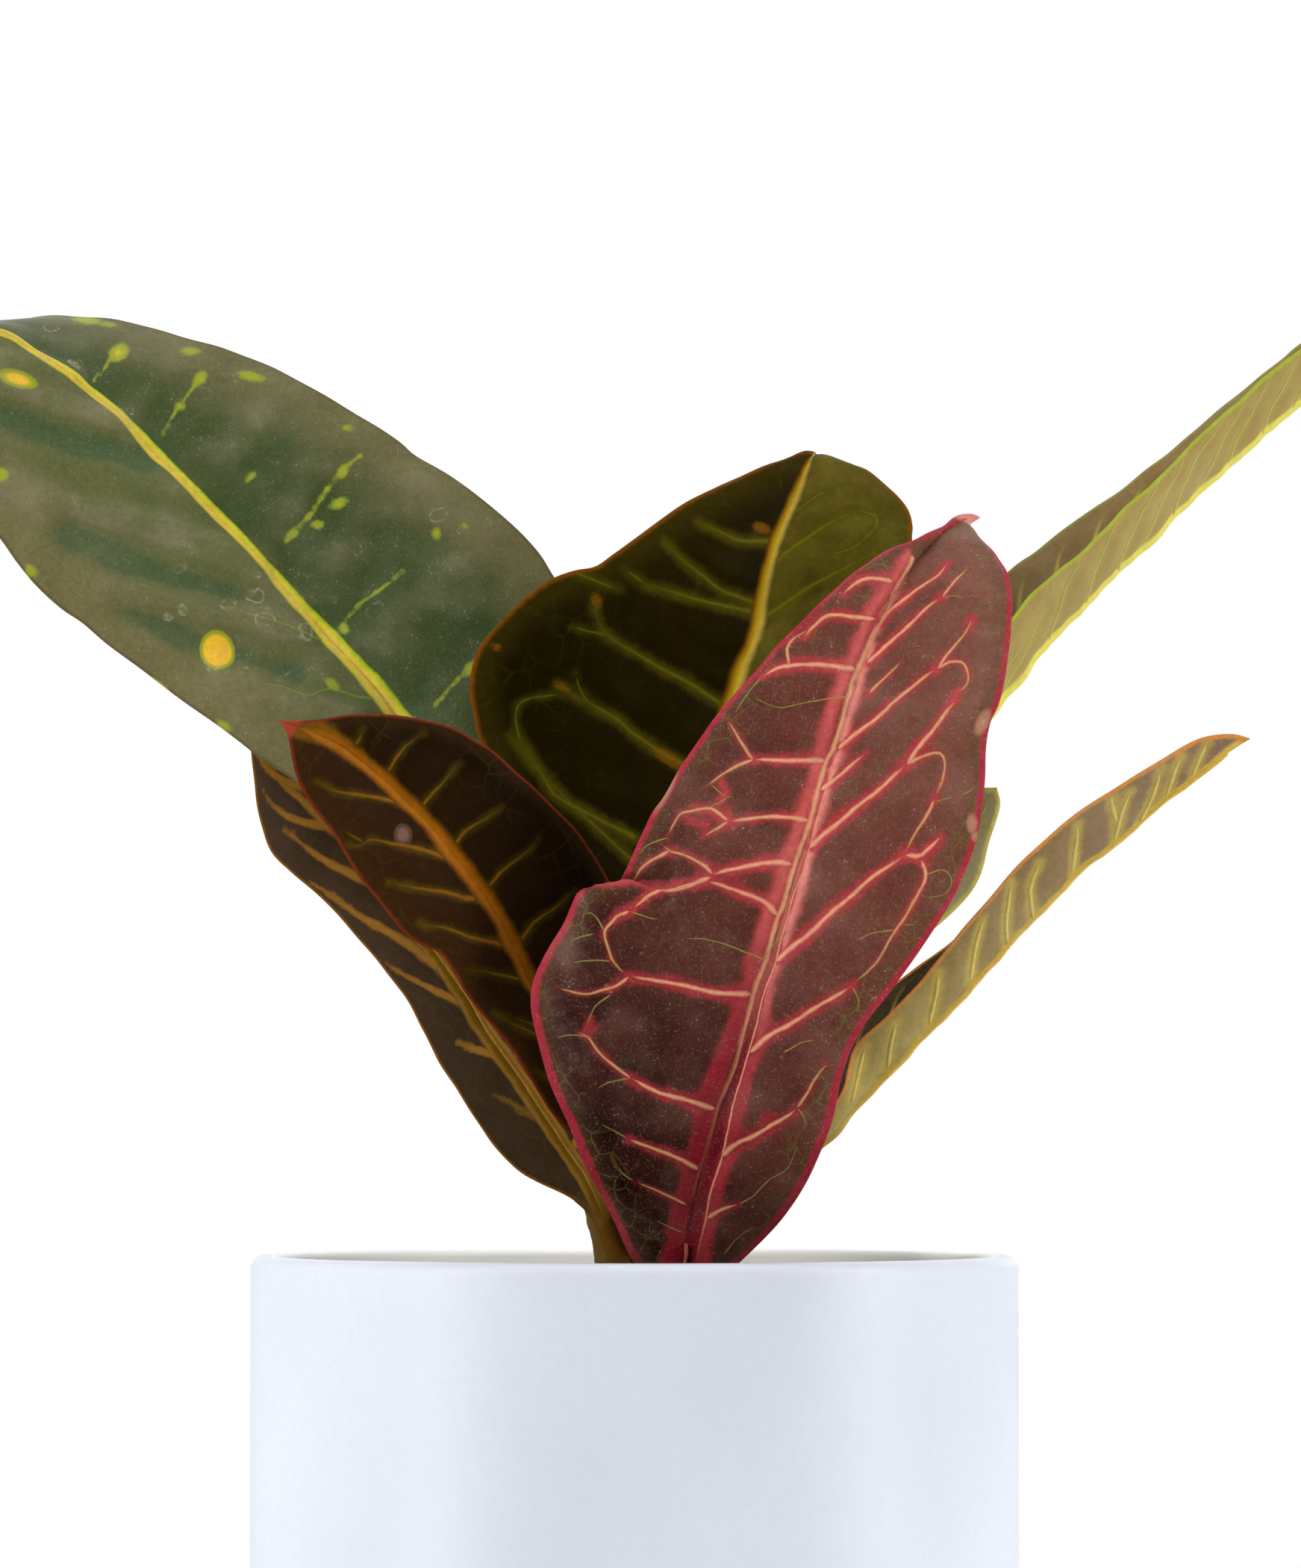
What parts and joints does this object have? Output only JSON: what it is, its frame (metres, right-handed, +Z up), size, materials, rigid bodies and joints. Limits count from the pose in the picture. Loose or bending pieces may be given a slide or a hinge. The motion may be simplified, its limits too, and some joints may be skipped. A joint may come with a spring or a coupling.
{
  "type": "potted croton",
  "caption": "Young croton with broad burgundy, olive and yellow-veined leaves on a short stem, rooted in a nursery pot inside a plain white cylindrical cover pot.",
  "frame": {"origin": "centre of the cover pot's underside, on the surface it stands on", "axes": "+Z up along the pot's axis, -Y towards the front of the plant, where the red leaf is, +X to the right as seen from the front"},
  "size_m": [0.2694, 0.13, 0.2955],
  "materials": {
    "pot": "satin white glaze",
    "nursery_pot": "matte",
    "soil": "moist peat and bark mix",
    "stem": "young bark",
    "leaf_front_red": "leathery, softly glossy",
    "leaf_left_dark": "leathery, softly glossy",
    "leaf_back_olive": "leathery, softly glossy",
    "leaf_left_green": "leathery, dusty",
    "leaf_low_left": "leathery, dull",
    "leaf_right_high": "leathery, matte underside",
    "leaf_right_low": "leathery, matte underside",
    "leaf_back_right": "leathery, softly glossy"
  },
  "bodies": {
    "root": {"pot": "pot", "nursery_pot": "nursery_pot", "soil": "soil", "stem": "stem", "leaf_front_red": "leaf_front_red", "leaf_left_dark": "leaf_left_dark", "leaf_back_olive": "leaf_back_olive", "leaf_left_green": "leaf_left_green", "leaf_low_left": "leaf_low_left", "leaf_right_high": "leaf_right_high", "leaf_right_low": "leaf_right_low", "leaf_back_right": "leaf_back_right"}
  },
  "joints": []
}
